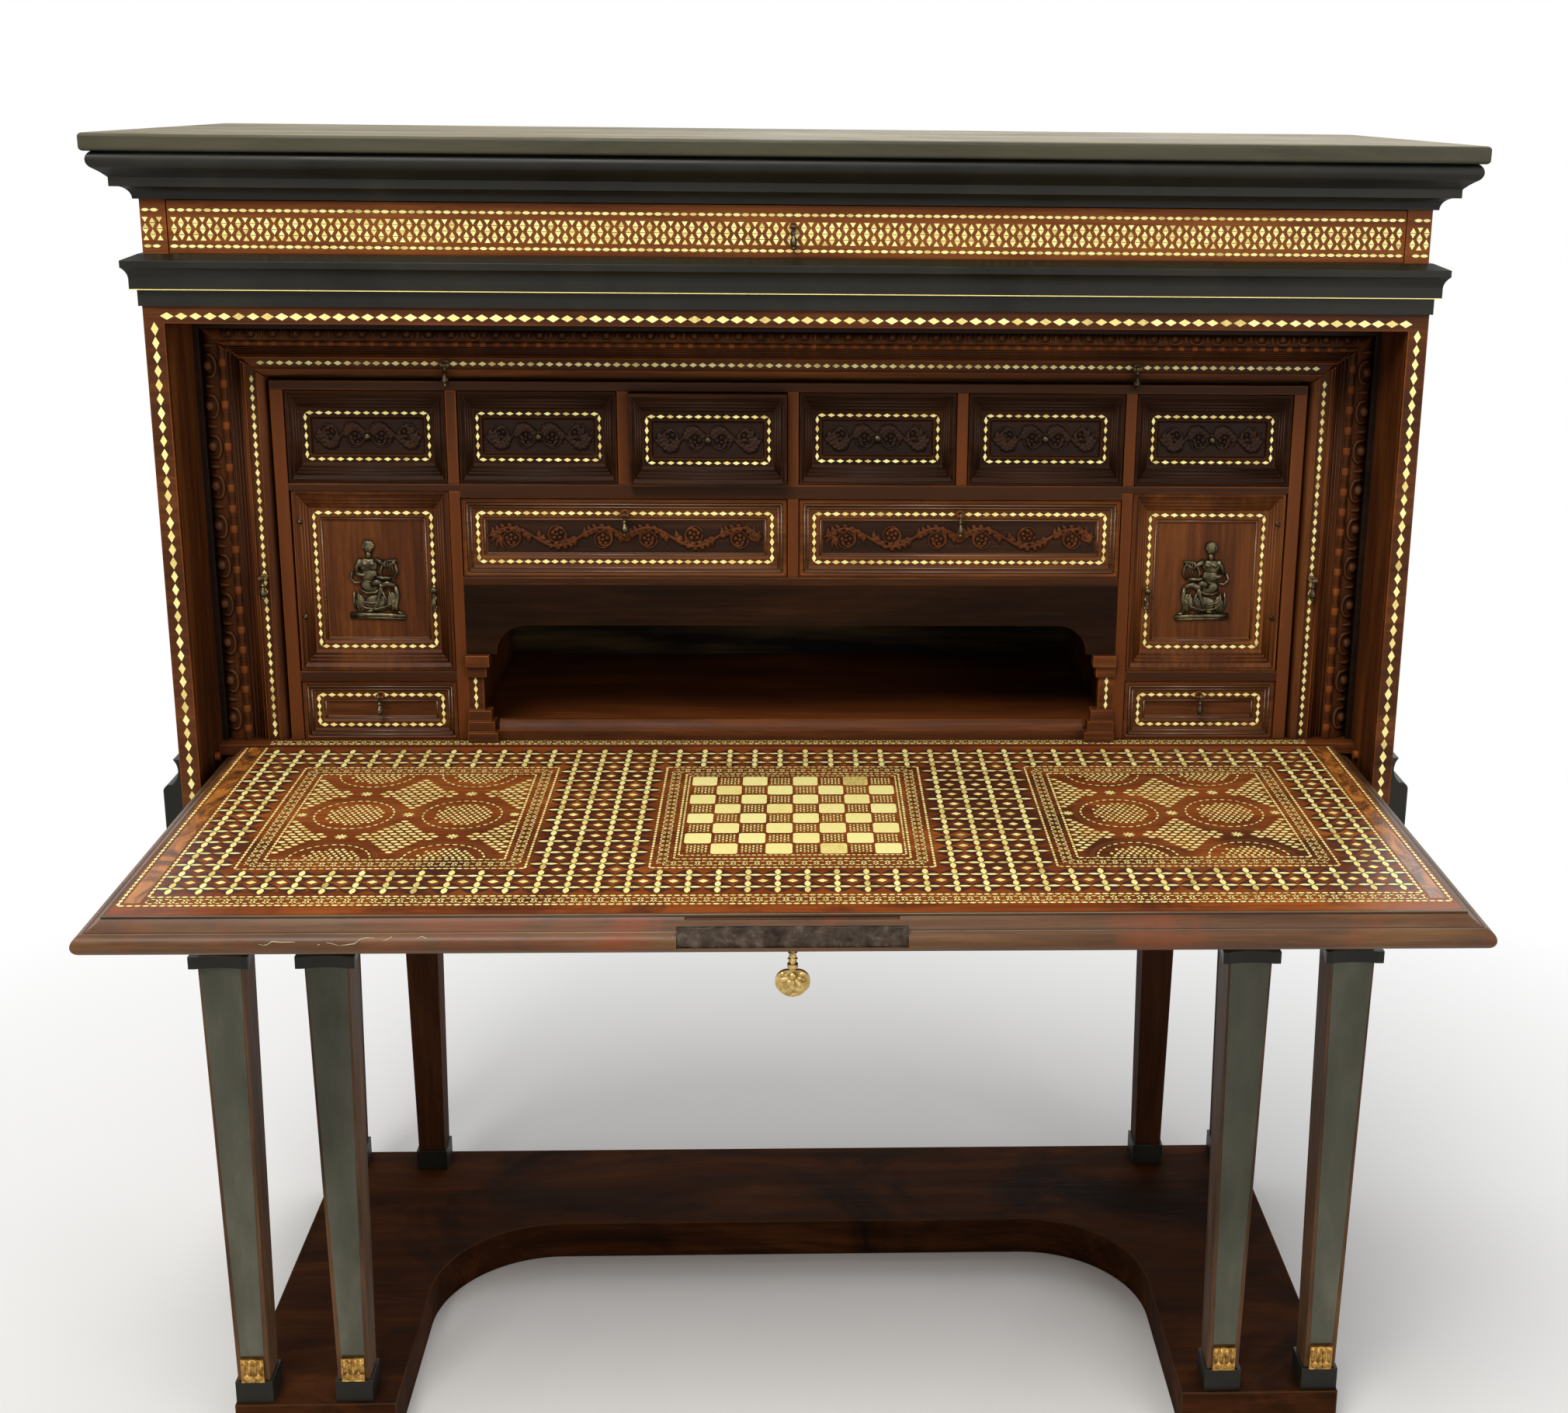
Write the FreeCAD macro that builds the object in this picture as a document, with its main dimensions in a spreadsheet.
import FreeCAD, Part
import os
import math

os.makedirs("parts", exist_ok=True)

# A fall-front writing cabinet on a columned stand.
# X runs to the right, Y to the back and Z up.
# The origin lies on the floor, in the middle of the width and of the whole depth.
# Every Y in the functions below is measured from the front face of the case, and the helpers
# that make the shapes move it to the origin.
# At rest the leaf is open on its two sliding supports, and every box, drawer and door is home.

SIZES = {
    # Platform
    "platform_front": 83,
    "platform_side_margin": 22,
    "platform_back_margin": 27,
    "platform_thickness": 50,
    "platform_arm_width": 184,
    "platform_bar_depth": 189,
    "platform_corner_radius": 150,
    # Columns
    "column_case_inset": 52,
    "column_pair_spacing": 114,
    "column_front_y": 58,
    "column_rear_inset": 18,
    "column_top_width": 48,
    "column_foot_width": 36,
    "column_panel_margin": 6,
    "column_panel_depth": 1.5,
    "column_shaft_height": 520,
    "plinth_width": 42,
    "plinth_height": 28,
    "gilt_foot_width": 26,
    "gilt_foot_height": 30,
    "gilt_foot_depth": 4,
    "abacus_width": 64,
    "abacus_height": 14,
    "abacus_ear_notch": 7,
    "capital_foot_width": 40,
    "capital_top_width": 58,
    "capital_height": 56,
    "capital_astragal_height": 7,
    "capital_astragal_reach": 3,
    "dosseret_width": 56,
    "dosseret_height": 10,
    # Stand frame
    "frame_rail_width": 44,
    "frame_rail_height": 44,
    # Case
    "case_half_width": 670,
    "case_depth": 470,
    "case_bottom_thickness": 11.4,
    "case_side_thickness": 21,
    "case_back_thickness": 18,
    "case_roof_thickness": 18,
    "case_rail_front_height": 36,
    "case_rail_front_thickness": 20,
    "face_frame_thickness": 8,
    # Mouldings round the case
    "base_block_height": 54,
    "base_block_projection": 20,
    "base_cavetto_height": 29,
    "base_cavetto_projection": 7,
    "waist_height": 53,
    "waist_tip_projection": 15,
    "waist_tip_drop": 6,
    "waist_lip": 7,
    "waist_body_projection": 9,
    "waist_foot_height": 17,
    "waist_foot_projection": 3,
    "frieze_inset": 4,
    "frieze_height": 55,
    "cornice_height": 48,
    "cornice_fillet_projection": 5,
    "cornice_cove_projection": 17,
    "cornice_cove_height": 13,
    "cornice_step": 5,
    "cornice_step_height": 9,
    "cornice_top_projection": 38,
    "cornice_ovolo_drop": 17,
    "top_board_thickness": 18,
    "top_board_overhang": 42,
    "top_board_back_overhang": 10,
    "top_board_edge_radius": 4,
    # Leaf
    "leaf_thickness": 31,
    "leaf_side_gap": 5,
    "leaf_top_gap": 5,
    "leaf_back": 72,
    "leaf_moulding_width": 25,
    "leaf_bullnose_radius": 10,
    "leaf_fillet_width": 3,
    "leaf_fillet_drop": 2,
    "leaf_heel_radius": 7,
    "leaf_pivot_inset": 8,
    "leaf_pivot_radius": 5,
    "leaf_pivot_reach": 17,
    "pivot_clearance": 0.08,
    "lock_plate_half_width": 105,
    "lock_plate_height": 20,
    "lock_plate_thickness": 2.5,
    "lock_plate_seat": 6,
    "lock_scar_half_width": 98,
    "lock_scar_drop": 5,
    "key_inset": 13,
    "key_stem_radius": 3,
    "key_bore_clearance": 0.3,
    "key_stem_length": 17,
    "key_collar_radius": 5,
    "key_collar_height": 3,
    "key_bow_width": 32,
    "key_bow_height": 29,
    "key_bow_thickness": 4,
    "key_bit_depth": 12,
    # Sliding supports under the leaf
    "loper_inset": 130,
    "loper_width": 30,
    "loper_height": 30,
    "loper_short": 89,
    "loper_tail": 85,
    "loper_guide_width": 10,
    "sliding_gap": 0.3,
    # Interior carcase
    "carcase_floor_rise": 1,
    "carcase_floor_thickness": 12,
    "carcase_floor_gap": 5,
    "carcase_setback": 22,
    "carcase_lid_thickness": 16,
    "lining_thickness": 6,
    "block_side_gap": 3.4,
    "block_side_thickness": 14,
    "cell_divider": 12,
    "top_box_cell_height": 56,
    "top_shelf_thickness": 10,
    "small_cell_height": 104,
    "row_shelf_thickness": 8,
    "wide_rail_drop": 8,
    "wide_cell_height": 90,
    "wide_shelf_thickness": 8,
    "low_cell_height": 70,
    "low_shelf_thickness": 12,
    "front_setback": 2,
    "fit_gap": 1.2,
    # Niche
    "niche_height": 136,
    "niche_apron_height": 48,
    "niche_corner_radius": 34,
    "niche_apron_thickness": 14,
    "pilaster_width": 34,
    "pilaster_depth": 12,
    "pilaster_base_height": 36,
    "pilaster_step": 4,
    "pilaster_cap_height": 26,
    "threshold_height": 22,
    "threshold_depth": 14,
    # Drawer and box fronts
    "front_thickness": 16,
    "front_edge": 3,
    "front_slope": 9,
    "front_slope_depth": 4,
    "string_band": 9,
    "panel_bevel": 5,
    "panel_bevel_depth": 4,
    "reeded_slope_depth": 8,
    "small_front_side_slope": 12,
    "small_front_head_slope": 18,
    "small_panel_bevel": 2.5,
    "door_side_slope": 14,
    "door_head_slope": 19,
    "tray_back_gap": 20,
    "tray_wall": 7,
    "tray_floor": 5,
    "tray_top_gap": 4,
    "frame_front_thickness": 22,
    "frame_board_width": 68,
    "frame_board_height": 52,
    "mitre_gap": 0.8,
    "frame_edge_bevel": 10,
    "frame_groove_width": 12,
    "frame_groove_depth": 4,
    "frieze_end_width": 26,
    "frieze_back_gap": 132,
    "ajar_drawer_reach": 16,
    "door_thickness": 16,
    "door_hinge_gap": 2,
    "door_pin_inset": 3,
    "door_pin_radius": 1.5,
    "door_pin_reach": 5,
    "mount_figure_width": 62,
    "mount_figure_height": 92,
    "mount_figure_depth": 5,
    "mount_base_height": 9,
    # Drop pulls and knobs
    "pull_pin_radius": 1.2,
    "pull_pin_length": 9,
    "pull_eye_clearance": 0.25,
    "pull_eye_wall": 1.6,
    "pull_eye_thickness": 3,
    "pull_lug_width": 1.8,
    "pull_standoff": 6,
    "pull_drop_length": 24,
    "pull_drop_radius": 3.6,
    "pull_neck_radius": 1.3,
    "pull_plate_radius": 4.2,
    "pull_plate_thickness": 1.2,
    "knob_radius": 3.5,
    "knob_length": 8,
    # How far the face of the case stands in front of the origin
    "origin_setback": 30,
    # One overrun for every cut
    "overrun": 5,
}

# Places of the drop pulls, as shares of the front that carries them
TOP_PULL_SHARE = 0.66
SIDE_PULL_SHARE = 0.46
DOOR_PULL_SHARE = 0.45

# Where the middle point of a curved stretch lies, as shares of the stretch's own size
CORNICE_COVE_SHARES = (0.3, 0.7)
CORNICE_OVOLO_SHARE = 0.3
BASE_SHOULDER_SHARES = (0.85, 0.25)
BASE_CAVETTO_SHARE = 0.12
THRESHOLD_CURVE_SHARES = (0.2, 1.6)

# Turned outlines as shares of (widest radius, length)
PULL_DROP_SHARES = (
    (0.36, 0.25), (0.7, 0.32), (0.36, 0.4), (1, 0.62), (1, 0.74), (0.45, 0.88), (0.6, 0.94), (0.15, 1))
KNOB_SHARES = ((0.5, 0), (0.4, 0.4), (1, 0.6), (0.8, 0.9), (0.2, 1))

# The stepped slope of a framed front: start and reach as shares of its width, depth as a share of its own
FRONT_STEP_SHARES = ((0, 0.34, 0.55), (0.44, 0.22, 0.2), (0.76, 0.24, 0.25))
REEDED_STEP_SHARES = ((0, 0.3, 0.4), (0.38, 0.14, 0.15), (0.58, 0.14, 0.2), (0.78, 0.22, 0.25))

# The moulded part of a frame board, as shares of (its width, its relief) from the string outward
FRAME_SECTION_SHARES = (
    (0.09, 0), (0.09, 0.2), ("through", 0.26, 0.65), (0.43, 0.4), ("through", 0.52, 0), (0.61, 0.4),
    (0.65, 0.4), ("through", 0.86, 0.52), (1, 1))
FRAME_RELIEF_SHARE = 0.22

# The bell of a capital, as shares of (its flare, its height)
CAPITAL_BELL_SHARES = ((0, 0), (0.12, 0.5), (0.45, 0.8), (1, 1))

# Half of the key's shell-shaped bow, as shares of (half width, height below the stem)
BOW_SHARES = {"shoulder": (0, 0.1), "swell": (1, 0.45), "corner": (0.75, 0.8), "tip": (0, 1)}

# The seated figure's outline, as shares of (width, height) from the middle of its foot
FIGURE_SHARES = (
    (-0.42, 0.09), (-0.42, 0.42), ("through", -0.34, 0.7), (-0.12, 0.8), ("through", 0, 1),
    (0.12, 0.8), ("through", 0.4, 0.66), (0.42, 0.4), (0.3, 0.09))
COLUMNS = (("outer", -1), ("inner", -1), ("inner", 1), ("outer", 1))
SMALL_DRAWERS = 6
AJAR_DRAWER = 3
FACETS = 12
TURNED_FACETS = 8

doc = FreeCAD.newDocument("vargueno")
sheet = doc.addObject("Spreadsheet::Sheet", "Sizes")
for row, (alias, value) in enumerate(SIZES.items(), start=1):
    sheet.set("A%d" % row, alias.replace("_", " "))
    sheet.set("B%d" % row, str(value))
    sheet.setAlias("B%d" % row, alias)
doc.recompute()


class Size:
    """A length that carries its value and the sheet expression that gives it."""

    def __init__(self, value, text):
        self.value = value
        self.text = text

    def __add__(self, other):
        other = as_size(other)
        return Size(self.value + other.value, "(%s + %s)" % (self.text, other.text))

    def __sub__(self, other):
        other = as_size(other)
        return Size(self.value - other.value, "(%s - %s)" % (self.text, other.text))

    def __mul__(self, share):
        return Size(self.value * share, "(%s * %r)" % (self.text, share))

    def __truediv__(self, share):
        return Size(self.value / share, "(%s / %r)" % (self.text, share))

    def __neg__(self):
        return Size(-self.value, "(-%s)" % self.text)


def as_size(value):
    """Pass a size through, and turn zero or a sum of shares into one."""
    return value if isinstance(value, Size) else Size(value, repr(value))


class Sheet:
    """Reads a named size from the sheet as an attribute."""

    def __getattr__(self, alias):
        return Size(float(sheet.get(alias)), "Sizes.%s" % alias)


s = Sheet()
ZERO = as_size(0)


def bind(feature, **sizes):
    """Bind properties of a feature to expressions."""
    for name, size in sizes.items():
        feature.setExpression(name.replace("__", "."), as_size(size).text)
    return feature


def block(name, x, y, z):
    """A rectangular block between its low and high faces along each axis."""
    box = doc.addObject("Part::Box", name)
    bind(box, Length=x[1] - x[0], Width=y[1] - y[0], Height=z[1] - z[0])
    bind(box, Placement__Base__x=x[0], Placement__Base__y=FACE + y[0], Placement__Base__z=z[0])
    return box


def centred(middle, width):
    """The two faces of a width about its middle."""
    return (middle - width / 2, middle + width / 2)


def mirrored(side, near, far):
    """The low and high faces of a span on the left or right side."""
    if side > 0:
        return (as_size(near), as_size(far))
    return (-as_size(far), -as_size(near))


def cylinder(name, radius, length, centre, axis):
    """A round bar that starts at a point and runs along an axis."""
    bar = doc.addObject("Part::Cylinder", name)
    turn = FreeCAD.Rotation(FreeCAD.Vector(0, 0, 1), FreeCAD.Vector(*axis))
    bar.Placement = FreeCAD.Placement(FreeCAD.Vector(0, 0, 0), turn)
    bind(bar, Radius=radius, Height=length)
    bind(bar, Placement__Base__x=centre[0], Placement__Base__y=FACE + centre[1],
         Placement__Base__z=centre[2])
    return bar


def rod(name, radius, length, centre, axis):
    """A thin bar with flat facets, for small metalwork and its bores."""
    bar = doc.addObject("Part::Prism", name)
    bar.Polygon = FACETS
    turn = FreeCAD.Rotation(FreeCAD.Vector(0, 0, 1), FreeCAD.Vector(*axis))
    bar.Placement = FreeCAD.Placement(FreeCAD.Vector(0, 0, 0), turn)
    bind(bar, Circumradius=radius, Height=length)
    bind(bar, Placement__Base__x=centre[0], Placement__Base__y=FACE + centre[1],
         Placement__Base__z=centre[2])
    return bar


def frustum(name, low, high, start, depth, axis):
    """A tapering block: low and high are (half width, half height) at its two ends."""
    wedge = doc.addObject("Part::Wedge", name)
    bind(wedge, Xmin=-low[0], Xmax=low[0], Zmin=-low[1], Zmax=low[1], Ymin=ZERO, Ymax=depth)
    bind(wedge, X2min=-high[0], X2max=high[0], Z2min=-high[1], Z2max=high[1])
    if axis == "z":
        turn = FreeCAD.Rotation(FreeCAD.Vector(1, 0, 0), 90)
        wedge.Placement = FreeCAD.Placement(FreeCAD.Vector(0, 0, 0), turn)
    bind(wedge, Placement__Base__x=start[0], Placement__Base__y=FACE + start[1],
         Placement__Base__z=start[2])
    return wedge


def fused(name, parts):
    """Several solids joined into one."""
    joined = doc.addObject("Part::MultiFuse", name)
    joined.Shapes = parts
    joined.Refine = True
    return joined


def cut(name, base, tools):
    """A solid with other solids taken away."""
    tool = tools[0] if len(tools) == 1 else fused(name + "_tool", tools)
    result = doc.addObject("Part::Cut", name)
    result.Base = base
    result.Tool = tool
    return result


def common(name, base, tool):
    """What two solids share."""
    result = doc.addObject("Part::Common", name)
    result.Base = base
    result.Tool = tool
    return result


def group(name, parts):
    """Separate solids kept in one node."""
    compound = doc.addObject("Part::Compound", name)
    compound.Links = parts
    return compound


def path_edges(points):
    """Edges through plain points, with an arc wherever a point is marked as a middle one."""
    edges = []
    start = points[0]
    index = 1
    while index < len(points):
        point = points[index]
        if point[0] == "through":
            end = points[index + 1]
            edges.append(Part.Arc(start, point[1], end).toShape())
            index = index + 2
        else:
            end = point
            edges.append(Part.makeLine(start, end))
            index = index + 1
        start = end
    return edges


def outline(name, points):
    """A closed or open wire kept as an object of the document."""
    wire = doc.addObject("Part::Feature", name)
    wire.Shape = Part.Wire(path_edges(points))
    return wire


def vector(x, y, z):
    """A point from sizes."""
    return FreeCAD.Vector(as_size(x).value, (FACE + y).value, as_size(z).value)


def prism(name, points, direction, length):
    """A closed outline drawn out along an axis."""
    profile = outline(name + "_outline", points + [points[0]])
    solid = doc.addObject("Part::Extrusion", name)
    solid.Base = profile
    solid.DirMode = "Custom"
    solid.Dir = FreeCAD.Vector(*direction)
    solid.Solid = True
    bind(solid, LengthFwd=length)
    return solid


def swept(name, profile_points, route_points):
    """A moulding profile carried along a route with mitred corners."""
    profile = outline(name + "_profile", profile_points + [profile_points[0]])
    route = outline(name + "_route", route_points)
    sweep = doc.addObject("Part::Sweep", name)
    sweep.Sections = [profile]
    sweep.Spine = (route, ["Edge%d" % (n + 1) for n in range(len(route.Shape.Edges))])
    sweep.Transition = "Right corner"
    sweep.Solid = True
    sweep.Frenet = False
    return sweep


def faceted(name, rings, centre, axis):
    """A small turned piece with flat facets: its outline pushed through from several sides."""
    turn = FreeCAD.Rotation(FreeCAD.Vector(0, 0, 1), FreeCAD.Vector(*axis))
    widest = max((radius for radius, height in rings), key=lambda size: size.value)
    pieces = []
    for number in range(TURNED_FACETS // 2):
        spin = turn * FreeCAD.Rotation(FreeCAD.Vector(0, 0, 1), 360 / TURNED_FACETS * number)
        points = []
        for side, half in ((1, rings), (-1, rings[::-1])):
            for radius, height in half:
                local = FreeCAD.Vector(radius.value * side, -widest.value, height.value)
                points.append(vector(*centre) + spin.multVec(local))
        direction = spin.multVec(FreeCAD.Vector(0, 1, 0))
        pieces.append(prism("%s_side_%d" % (name, number), points, direction, widest * 2))
    shape = pieces[0]
    for number, piece in enumerate(pieces[1:]):
        shape = common("%s_part_%d" % (name, number), shape, piece)
    return shape


NODES = []


def node(feature, label):
    """Name the finished piece after its node."""
    feature.Label = label
    NODES.append(feature)
    return feature


# Heights that several pieces share
PLATFORM_TOP = s.platform_thickness
PLINTH_TOP = PLATFORM_TOP + s.plinth_height
COLUMN_TOP = PLINTH_TOP + s.column_shaft_height
ABACUS_TOP = COLUMN_TOP + s.abacus_height
CAPITAL_TOP = ABACUS_TOP + s.capital_height
DOSSERET_TOP = CAPITAL_TOP + s.dosseret_height
CASE_BOTTOM = DOSSERET_TOP + s.frame_rail_height
CASE_FLOOR = CASE_BOTTOM + s.case_bottom_thickness
LEAF_BOTTOM = CASE_FLOOR + s.loper_height + s.sliding_gap * 2
LEAF_SURFACE = LEAF_BOTTOM + s.leaf_thickness
PIVOT_Z = LEAF_SURFACE - s.leaf_pivot_inset
CARCASE_FLOOR = LEAF_SURFACE + s.carcase_floor_rise
FLOOR_BOTTOM = CARCASE_FLOOR - s.carcase_floor_thickness
NICHE_HEAD = CARCASE_FLOOR + s.niche_height
APRON_TOP = NICHE_HEAD + s.niche_apron_height
WIDE_SHELF = APRON_TOP + s.wide_shelf_thickness
WIDE_CELL_TOP = WIDE_SHELF + s.wide_cell_height
SHELF_BOTTOM = WIDE_CELL_TOP + s.wide_rail_drop
ROW_SHELF = SHELF_BOTTOM + s.row_shelf_thickness
SMALL_CELL_TOP = ROW_SHELF + s.small_cell_height
TOP_SHELF = SMALL_CELL_TOP + s.top_shelf_thickness
CARCASE_ROOF = TOP_SHELF + s.top_box_cell_height
ROOF_BOTTOM = CARCASE_ROOF + s.carcase_lid_thickness
CASE_TOP = ROOF_BOTTOM + s.case_roof_thickness
FRIEZE_BOTTOM = CASE_TOP + s.waist_height
FRIEZE_TOP = FRIEZE_BOTTOM + s.frieze_height
CORNICE_TOP = FRIEZE_TOP + s.cornice_height
LOW_CELL_TOP = CARCASE_FLOOR + s.low_cell_height
LOW_SHELF = LOW_CELL_TOP + s.low_shelf_thickness

# Places across the width
CASE_INNER = s.case_half_width - s.case_side_thickness
COLUMN_OUTER_X = s.case_half_width - s.column_case_inset
COLUMN_INNER_X = COLUMN_OUTER_X - s.column_pair_spacing
PLATFORM_HALF = COLUMN_OUTER_X + s.platform_side_margin
PLATFORM_ARM_INNER = PLATFORM_HALF - s.platform_arm_width
LEAF_HALF = CASE_INNER - s.leaf_side_gap
LOPER_X = s.case_half_width - s.loper_inset
FRIEZE_DRAWER_HALF = s.case_half_width - s.frieze_inset - s.frieze_end_width
CARCASE_HALF = CASE_INNER - s.lining_thickness
FRAME_OUTER = CARCASE_HALF - s.sliding_gap * 2
FRAME_INNER = FRAME_OUTER - s.frame_board_width
BLOCK_HALF = FRAME_INNER - s.block_side_gap
BLOCK_INNER = BLOCK_HALF - s.block_side_thickness
CELL_WIDTH = (BLOCK_INNER * 2 - s.cell_divider * (SMALL_DRAWERS - 1)) / SMALL_DRAWERS
CELL_PITCH = CELL_WIDTH + s.cell_divider
SIDE_CELL_INNER = BLOCK_INNER - CELL_WIDTH
NICHE_WALL = SIDE_CELL_INNER - s.cell_divider

# Places along the depth
FACE = -s.origin_setback
CASE_BACK_FACE = s.case_depth - s.case_back_thickness
COLUMN_REAR_Y = s.case_depth - s.column_rear_inset
PLATFORM_BACK = COLUMN_REAR_Y + s.platform_back_margin
PLATFORM_BAR_FRONT = PLATFORM_BACK - s.platform_bar_depth
PIVOT_Y = s.leaf_back - s.leaf_pivot_inset
LEAF_FRONT = ROOF_BOTTOM - s.leaf_top_gap - PIVOT_Z - PIVOT_Y
KEY_Y = LEAF_FRONT - s.key_inset
LOPER_REACH = LEAF_FRONT - s.loper_short
CARCASE_FRONT = s.leaf_back + s.carcase_setback
CARCASE_FLOOR_FRONT = s.leaf_back + s.carcase_floor_gap
FRONT_PLANE = CARCASE_FRONT + s.front_setback
TRAY_END = CASE_BACK_FACE - s.tray_back_gap
FRIEZE_TRAY_END = CASE_BACK_FACE - s.frieze_back_gap
PULL_EYE_RADIUS = s.pull_pin_radius + s.pull_eye_clearance + s.pull_eye_wall


def make_platform():
    """The thick U-shaped board, cut away in front in a wide bay with round inner corners."""
    half = PLATFORM_HALF
    arm = PLATFORM_ARM_INNER
    radius = s.platform_corner_radius
    knee = math.sqrt(0.5)
    near = -s.platform_front
    bar = PLATFORM_BAR_FRONT
    arc_x = arm - radius + radius * knee
    arc_y = bar - radius + radius * knee
    points = [
        vector(-half, near, ZERO),
        vector(-arm, near, ZERO),
        vector(-arm, bar - radius, ZERO),
        ("through", vector(-arc_x, arc_y, ZERO)),
        vector(radius - arm, bar, ZERO),
        vector(arm - radius, bar, ZERO),
        ("through", vector(arc_x, arc_y, ZERO)),
        vector(arm, bar - radius, ZERO),
        vector(arm, near, ZERO),
        vector(half, near, ZERO),
        vector(half, PLATFORM_BACK, ZERO),
        vector(-half, PLATFORM_BACK, ZERO),
    ]
    node(prism("platform", points, (0, 0, 1), s.platform_thickness), "platform")


def column_centre(which, side):
    """The X of one column of a pair."""
    x = COLUMN_INNER_X if which == "inner" else COLUMN_OUTER_X
    return x * side


def make_columns():
    """Eight tapering square columns with plinths, abaci, capitals and dosserets."""
    shafts = {"front": [], "rear": []}
    plinths, feet, abaci, capitals = [], [], [], []
    foot = s.column_foot_width / 2
    top = s.column_top_width / 2
    height = COLUMN_TOP - PLINTH_TOP
    for row, y in (("front", -s.column_front_y), ("rear", COLUMN_REAR_Y)):
        for which, side in COLUMNS:
            x = column_centre(which, side)
            tag = "%s_%s_%s" % (row, which, "left" if side < 0 else "right")
            shaft = frustum("shaft_" + tag, (foot, foot), (top, top), (x, y, PLINTH_TOP), height, "z")
            if row == "front":
                shaft = panelled(shaft, tag, x, y)
                lean = (top - foot) * (s.gilt_foot_height.value / height.value)
                foot_front = y - foot - lean
                feet.append(block(
                    "gilt_foot_" + tag, centred(x, s.gilt_foot_width),
                    (foot_front - s.gilt_foot_depth, foot_front),
                    (PLINTH_TOP, PLINTH_TOP + s.gilt_foot_height)))
            shafts[row].append(shaft)
            plinths.append(block(
                "plinth_" + tag, centred(x, s.plinth_width), centred(y, s.plinth_width),
                (PLATFORM_TOP, PLINTH_TOP)))
            abaci.append(make_abacus(tag, x, y))
            capitals.append(make_capital(tag, x, y))
    node(group("front_columns", shafts["front"]), "front_columns")
    node(group("rear_columns", shafts["rear"]), "rear_columns")
    node(group("column_plinths", plinths), "column_plinths")
    node(group("gilt_feet", feet), "gilt_feet")
    node(group("column_abaci", abaci), "column_abaci")
    node(group("column_capitals", capitals), "column_capitals")


def panelled(shaft, tag, x, y):
    """A front column with its shallow tapering panel, which leans with the face."""
    depth = s.column_panel_depth
    margin = s.column_panel_margin
    half_low = s.column_foot_width / 2 - margin
    half_high = s.column_top_width / 2 - margin
    low_face = (FACE + y - s.column_foot_width / 2).value
    high_face = (FACE + y - s.column_top_width / 2).value
    low = PLINTH_TOP.value + s.gilt_foot_height.value
    high = COLUMN_TOP.value - margin.value
    span = COLUMN_TOP.value - PLINTH_TOP.value

    def face_at(z):
        return low_face + (high_face - low_face) * (z - PLINTH_TOP.value) / span

    def rectangle(offset):
        corners = []
        for half, z in ((half_low.value, low), (half_high.value, high)):
            depth_y = face_at(z) + offset
            corners.append([FreeCAD.Vector(x.value - half, depth_y, z),
                            FreeCAD.Vector(x.value + half, depth_y, z)])
        loop = [corners[0][0], corners[0][1], corners[1][1], corners[1][0], corners[0][0]]
        return Part.makePolygon(loop)

    panel = doc.addObject("Part::Feature", "panel_" + tag)
    panel.Shape = Part.makeLoft([rectangle(-s.overrun.value), rectangle(depth.value)], True, True)
    return cut("column_" + tag, shaft, [panel])


def make_abacus(tag, x, y):
    """A square slab whose corners stand out as ears beyond its hollowed sides."""
    half = s.abacus_width / 2
    waist = half - s.abacus_ear_notch / 2
    ear = s.abacus_ear_notch
    z = COLUMN_TOP
    points = [vector(x - half, y - half, z)]
    corners = ((-1, -1), (1, -1), (1, 1), (-1, 1))
    for index, corner in enumerate(corners):
        after = corners[(index + 1) % len(corners)]
        along = (after[0] - corner[0], after[1] - corner[1])
        if along[0]:
            near = vector(x + (half - ear) * corner[0], y + half * corner[1], z)
            middle = vector(x, y + waist * corner[1], z)
            far = vector(x + (half - ear) * after[0], y + half * after[1], z)
        else:
            near = vector(x + half * corner[0], y + (half - ear) * corner[1], z)
            middle = vector(x + waist * corner[0], y, z)
            far = vector(x + half * after[0], y + (half - ear) * after[1], z)
        points.append(near)
        points.append(("through", middle))
        points.append(far)
        if index < len(corners) - 1:
            points.append(vector(x + half * after[0], y + half * after[1], z))
    return prism("abacus_" + tag, points, (0, 0, 1), s.abacus_height)


def make_capital(tag, x, y):
    """A ringed foot, a bell that flares in stages and a square block, which carries the stand frame."""
    foot = s.capital_foot_width / 2
    flare = s.capital_top_width / 2 - foot
    ring = s.capital_foot_width + s.capital_astragal_reach * 2
    parts = [block("astragal_" + tag, centred(x, ring), centred(y, ring),
                   (ABACUS_TOP, ABACUS_TOP + s.capital_astragal_height))]
    for stage, (below, above) in enumerate(zip(CAPITAL_BELL_SHARES, CAPITAL_BELL_SHARES[1:])):
        low = foot + flare * below[0]
        high = foot + flare * above[0]
        parts.append(frustum("bell_%s_%d" % (tag, stage), (low, low), (high, high),
                             (x, y, ABACUS_TOP + s.capital_height * below[1]),
                             s.capital_height * (above[1] - below[1]), "z"))
    parts.append(block("dosseret_" + tag, centred(x, s.dosseret_width), centred(y, s.dosseret_width),
                       (CAPITAL_TOP, DOSSERET_TOP)))
    return fused("capital_" + tag, parts)


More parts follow.
